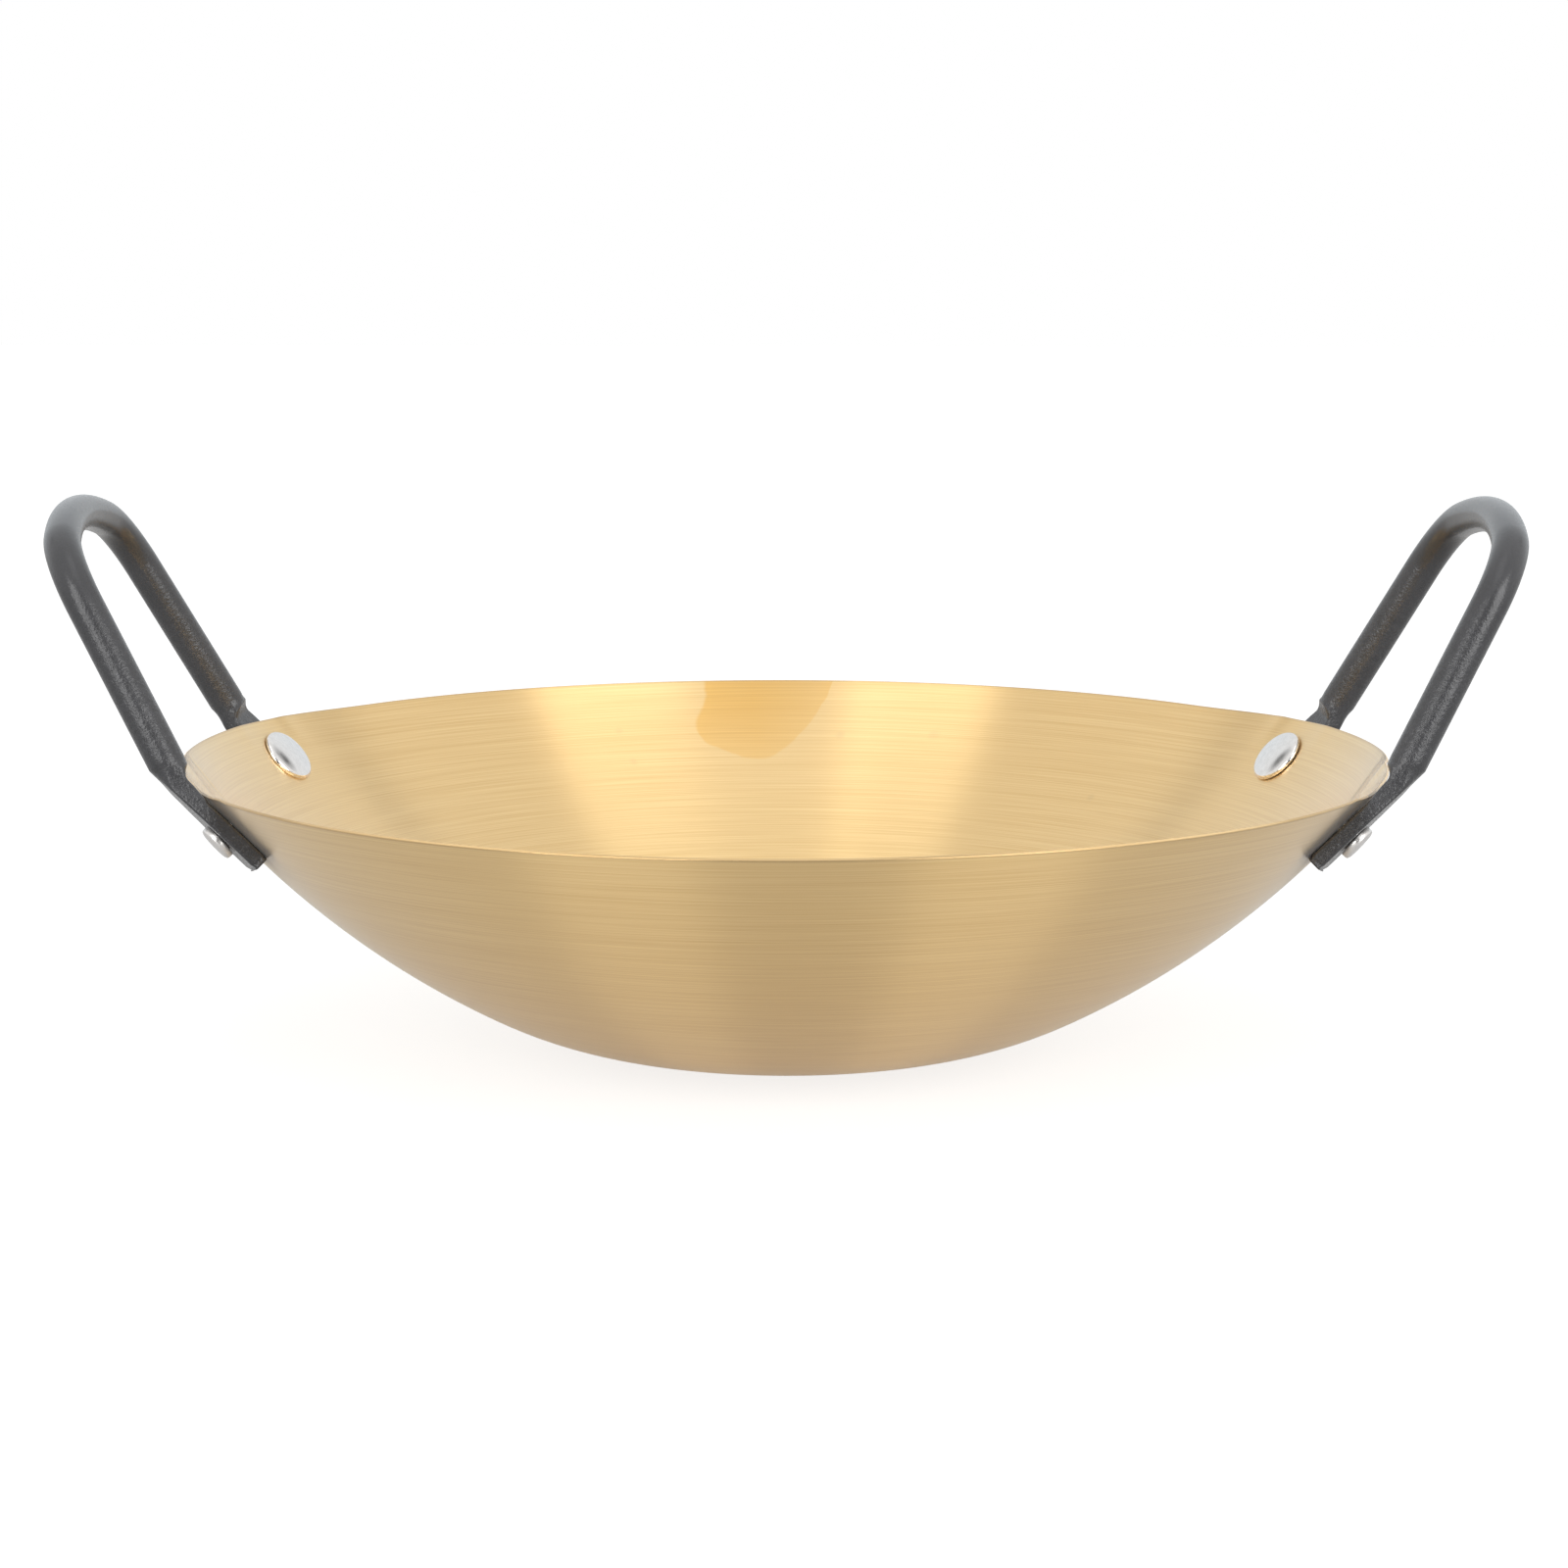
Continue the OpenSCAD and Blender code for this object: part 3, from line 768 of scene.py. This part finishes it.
def grainedBlack():
    material, tree, out = newMaterial("grainedBlack")
    p = coatFinish
    at = pieceCoords(tree)
    grain, pebble, cloud = (noise(tree, at, *p[key]) for key in ("grain", "pebble", "cloud"))
    crest = plus(
        tree, times(tree, spread(tree, grain, *p["crestRange"]), p["crestGrain"]),
        times(tree, spread(tree, pebble, *p["crestRange"]), p["crestPebble"]),
    )
    # held: full on the legs and weak on the top of the grip, where the grain is rubbed smooth
    held = spread(tree, node(tree, "SeparateXYZ", i0=at).outputs[2], *p["gripTo"])
    crest = plus(tree, times(tree, minus(tree, crest, 0.5), held), 0.5)
    tone = times(tree, crest, spread(tree, cloud, *p["cloudTo"]))
    height = times(tree, plus(tree, times(tree, grain, p["heightGrain"]), pebble), held)
    shader = node(tree, "BsdfPrincipled")
    fill(tree, shader, {
        "Base Color": tint(tree, tone, p["black"], p["grey"]), "Roughness": spread(tree, crest, *p["roughTo"]),
        "Sheen Weight": p["sheen"], "Sheen Roughness": p["sheenRoughness"],
        "Normal": bumped(tree, height, p["grainStrength"], p["grainDepth"]),
    })
    tree.links.new(shader.outputs[0], out.inputs[0])
    return material


# rivet finish: aluminium, polished on the heads and hammered on the closed ends

rivetFinish = {
    "silver": (0.87, 0.845, 0.82, 1), "grey": (0.80, 0.775, 0.75, 1), "polished": 0.08, "hammered": 0.28,
    # noises over the piece: scale, detail, roughness; range of the scuffs and what they add to the roughness
    "scuff": (900.0, 4.0, 0.6), "hammer": (420.0, 1.0), "scuffRange": (0.35, 0.65), "scuffRough": 0.05,
    # height of the scuffs beside the hammer marks; strength of both on the head and on the closed end
    "scuffHeight": 0.15, "headBump": 0.02, "endBump": 0.9, "hammerDepth": 0.00010, "hammerStrength": 0.5,
}


def brightAluminium():
    material, tree, out = newMaterial("brightAluminium")
    p = rivetFinish
    at = pieceCoords(tree)
    worked = marked(tree, "worked")
    scuff, hammer = noise(tree, at, *p["scuff"]), noise(tree, at, *p["hammer"])
    finish = spread(tree, worked, 0.0, 1.0, p["polished"], p["hammered"])
    height = times(
        tree, plus(tree, hammer, times(tree, scuff, p["scuffHeight"])),
        spread(tree, worked, 0.0, 1.0, p["headBump"], p["endBump"]),
    )
    shader = node(tree, "BsdfPrincipled")
    fill(tree, shader, {
        "Base Color": tint(tree, spread(tree, scuff, *p["scuffRange"]), p["grey"], p["silver"]), "Metallic": 1.0,
        "Roughness": plus(tree, finish, spread(tree, scuff, *p["scuffRange"], 0.0, p["scuffRough"])),
        "Normal": bumped(tree, height, p["hammerStrength"], p["hammerDepth"]),
    })
    tree.links.new(shader.outputs[0], out.inputs[0])
    return material


bowlPiece.data.materials.append(brushedGold())
blackCoat, aluminium = grainedBlack(), brightAluminium()
for piece in handlePieces:
    piece.data.materials.append(blackCoat)
for piece in rivetPieces:
    piece.data.materials.append(aluminium)
print("finishes made")


# studio: a pale floor, white surroundings that darken behind the camera, two softboxes in front and a weak one overhead

studio = {
    # the floor: size, gap below the base, tone, and its own glow as the camera sees it and as the pieces mirror it
    "floorSize": 6.0, "floorGap": 0.0001, "floorTone": 0.30, "floorCamera": 0.80, "floorMirror": 0.31,
    # under the bowl the floor is lit by the gold wall: its mirrored colour there, full and gone at these radii
    "bounce": (0.92, 0.78, 0.62, 1), "bounceTo": (0.035, 0.125, 1.0, 0.0),
    # the surroundings: their level, the level behind the camera, and the way forwards and up at which that ends
    "surround": 0.91, "behindCamera": 0.32, "roomFront": (-0.92, -0.35, 1.0, 0.0), "roomUp": (0.30, 0.80, 1.0, 0.0),
    # a darker upright strip between the softboxes: its half width and where it ends towards the back
    "dark": 0.75, "stripAcross": (0.10, 0.26, 1.0, 0.0), "stripFront": (-0.85, -0.70, 1.0, 0.0),
    # a narrow dark card at the back on either side: the way to its middle, along it and across it for the right side,
    # how dark it is, its soft half width and half length, and where the back begins
    "cardPlace": (0.661, 0.481, 0.575), "cardAlong": (0.664, -0.031, -0.740), "cardAcross": (-0.362, 0.859, -0.362),
    "cardDepth": 0.80, "cardHalfWidth": (0.02, 0.10), "cardHalfLength": (0.03, 0.17), "cardBack": (0.1, 0.2),
    # the backdrop is a little cooler than the lamps
    "cool": (0.90, 0.955, 1.0, 1), "coolTo": (0.30, 0.90),
    # name: azimuth from the camera's side, distance, height of the middle, width, height, watts; and what they aim at
    "softboxes": (
        ("leftSoftbox", -31.5, 1.55, 0.60, 0.90, 1.12, 11.0),
        ("rightSoftbox", 39.5, 1.55, 0.60, 0.98, 1.12, 12.7),
        ("topSoftbox", 0.0, 0.45, 1.70, 0.74, 1.10, 1.4),
    ),
    "aim": (0, 0, 0.05),
}

white = (1, 1, 1, 1)


def paleFloor():
    p = studio
    n, low = p["floorSize"] / 2, -p["floorGap"]
    mesh = bpy.data.meshes.new("paleFloor")
    mesh.from_pydata([(-n, -n, low), (n, -n, low), (n, n, low), (-n, n, low)], [], [(0, 1, 2, 3)])
    floor = bpy.data.objects.new("paleFloor", mesh)
    bpy.context.scene.collection.objects.link(floor)
    material, tree, out = newMaterial("paleFloor")
    tone = p["floorTone"]
    matt = node(tree, "BsdfDiffuse", Color=(tone, tone, tone, 1))
    ray = node(tree, "LightPath").outputs
    seen = times(tree, ray["Is Camera Ray"], p["floorCamera"])
    mirrored = maths(tree, "MAXIMUM", ray["Is Glossy Ray"], ray["Is Transmission Ray"])
    strength = plus(tree, seen, times(tree, mirrored, p["floorMirror"]))
    radius = node(tree, "VectorMath", {"operation": "LENGTH"}, i0=pieceCoords(tree)).outputs["Value"]
    bounced = times(tree, mirrored, spread(tree, radius, *p["bounceTo"]))
    glow = node(tree, "Emission", Color=tint(tree, bounced, white, p["bounce"]), Strength=strength)
    both = node(tree, "AddShader", i0=matt.outputs[0], i1=glow.outputs[0])
    # clear from below, so that the underside can be looked at
    under = node(tree, "NewGeometry").outputs["Backfacing"]
    clear = node(tree, "BsdfTransparent")
    look = node(tree, "MixShader", i0=under, i1=both.outputs[0], i2=clear.outputs[0])
    tree.links.new(look.outputs[0], out.inputs[0])
    mesh.materials.append(material)


def whiteWorld():
    p = studio
    world = bpy.data.worlds.new("whiteStudio")
    bpy.context.scene.world = world
    tree, out = clearTree(world, "World")
    x, y, z = node(tree, "SeparateXYZ", i0=node(tree, "TexCoord").outputs["Generated"]).outputs
    aside = maths(tree, "ABSOLUTE", x)

    def darken(level, share, amount):
        return times(tree, level, minus(tree, 1.0, times(tree, share, amount)))

    room = times(
        tree, spread(tree, y, *p["roomFront"], kind="SMOOTHSTEP"), spread(tree, z, *p["roomUp"], kind="SMOOTHSTEP"),
    )
    level = minus(tree, p["surround"], times(tree, room, p["surround"] - p["behindCamera"]))
    # the rivet heads and the rim mirror the strip
    strip = times(tree, spread(tree, aside, *p["stripAcross"]), spread(tree, y, *p["stripFront"]))
    level = darken(level, strip, p["dark"])
    # the cards are dark where the way is close to the card's middle line and within its length
    way = node(tree, "CombineXYZ", i0=aside, i1=y, i2=z).outputs[0]
    card = spread(tree, y, *p["cardBack"])
    for axis, half in (("cardAcross", "cardHalfWidth"), ("cardAlong", "cardHalfLength")):
        dot = node(tree, "VectorMath", {"operation": "DOT_PRODUCT"}, i0=way, i1=p[axis]).outputs["Value"]
        off = maths(tree, "ABSOLUTE", minus(tree, dot, float(np.dot(p["cardPlace"], p[axis]))))
        card = times(tree, card, spread(tree, off, *p[half], 1.0, 0.0))
    level = darken(level, card, p["cardDepth"])
    soft = node(tree, "Background", Color=tint(tree, spread(tree, y, *p["coolTo"]), white, p["cool"]), Strength=level)
    plain = node(tree, "Background", Color=white, Strength=1.0)
    seen = node(tree, "LightPath").outputs["Is Camera Ray"]
    look = node(tree, "MixShader", i0=seen, i1=soft.outputs[0], i2=plain.outputs[0])
    tree.links.new(look.outputs[0], out.inputs[0])


def addSoftbox(name, azimuth, distance, height, width, tall, watts):
    light = bpy.data.lights.new(name, "AREA")
    light.shape = "RECTANGLE"
    light.size, light.size_y = width, tall
    light.energy = watts
    lamp = bpy.data.objects.new(name, light)
    bpy.context.scene.collection.objects.link(lamp)
    turn = np.radians(azimuth)
    lamp.location = (distance * np.sin(turn), -distance * np.cos(turn), height)
    lamp.rotation_euler = (Vector(studio["aim"]) - lamp.location).to_track_quat("-Z", "Y").to_euler()


paleFloor()
whiteWorld()
for softbox in studio["softboxes"]:
    addSoftbox(*softbox)
print("studio made")


# camera, as the photograph was taken: place in mm, turn and pitch in degrees, roll in radians, focal length in pixels

shot = {
    "place": (-9.4, -799.95, 176.9), "turn": 0.65, "pitch": 8.875, "roll": 0.0021,
    "focal": 4101.0, "picture": 1600.0, "sensor": 36.0, "clip": (0.01, 50),
}


def addCamera():
    p = shot
    turn, pitch, roll = np.radians(p["turn"]), np.radians(p["pitch"]), p["roll"]
    forward = Vector((np.cos(pitch) * np.sin(turn), np.cos(pitch) * np.cos(turn), -np.sin(pitch)))
    right = Vector((np.cos(turn), -np.sin(turn), 0))
    up = right.cross(forward)
    right, up = right * np.cos(roll) + up * np.sin(roll), up * np.cos(roll) - right * np.sin(roll)
    data = bpy.data.cameras.new("photoCamera")
    data.sensor_width = p["sensor"]
    data.sensor_fit = "HORIZONTAL"
    data.lens = p["focal"] / p["picture"] * data.sensor_width
    data.clip_start, data.clip_end = p["clip"]
    camera = bpy.data.objects.new("photoCamera", data)
    bpy.context.scene.collection.objects.link(camera)
    back = -forward
    x, y, z = (mm * v for v in p["place"])
    camera.matrix_world = Matrix((
        (right.x, up.x, back.x, x), (right.y, up.y, back.y, y), (right.z, up.z, back.z, z), (0, 0, 0, 1),
    ))
    bpy.context.scene.camera = camera


addCamera()
bpy.context.scene.view_settings.view_transform = "Standard"
print("scene ready")
